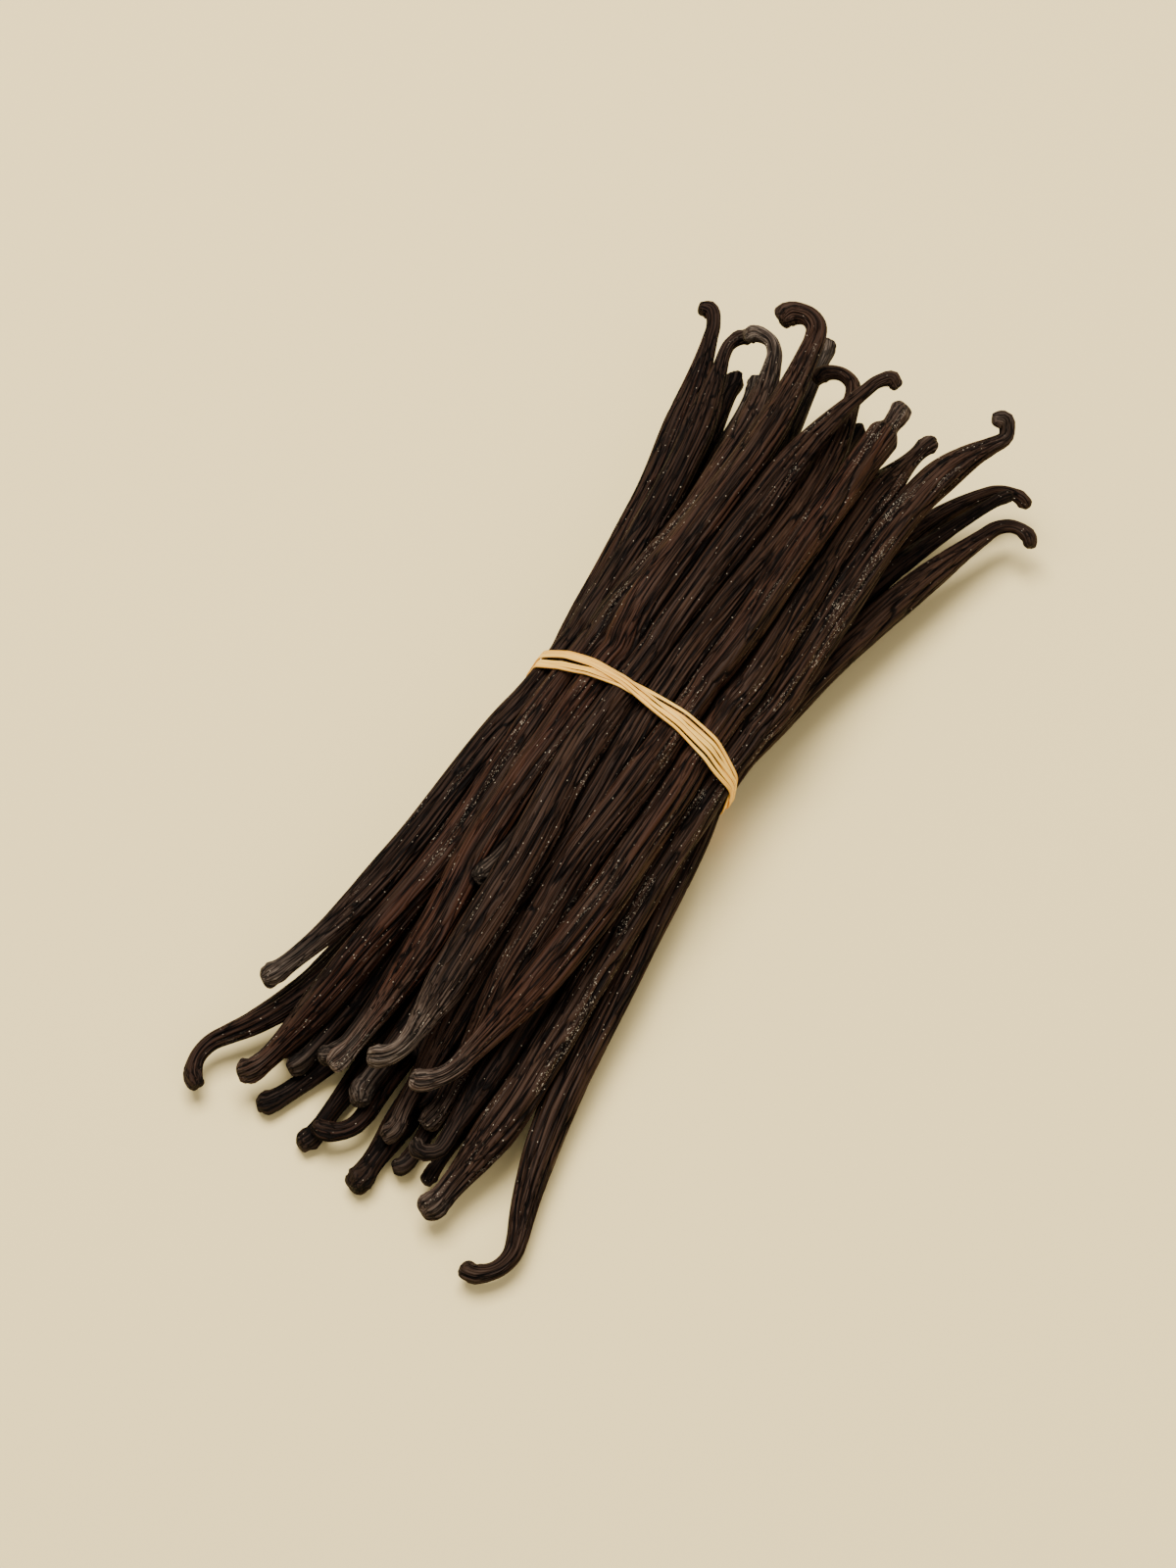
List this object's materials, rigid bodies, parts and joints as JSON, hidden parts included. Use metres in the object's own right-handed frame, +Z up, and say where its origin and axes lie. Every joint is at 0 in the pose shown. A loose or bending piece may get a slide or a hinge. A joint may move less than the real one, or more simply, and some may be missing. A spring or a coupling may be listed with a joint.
{
  "type": "vanilla pod bundle",
  "caption": "Long dark vanilla pods laid side by side, splayed and curled at both ends, held round the middle by a thin raffia tie.",
  "frame": {"origin": "middle of the underside of the whole bundle's box, on the surface it lies on", "axes": "+Y along the bundle towards the pods' stalk ends, +X across it, +Z up"},
  "size_m": [0.0804, 0.2004, 0.0358],
  "materials": {
    "pod_skin": "oily satin",
    "raffia": "matte"
  },
  "bodies": {
    "root": {"pods": "pod_skin", "tie": "raffia"}
  },
  "joints": []
}
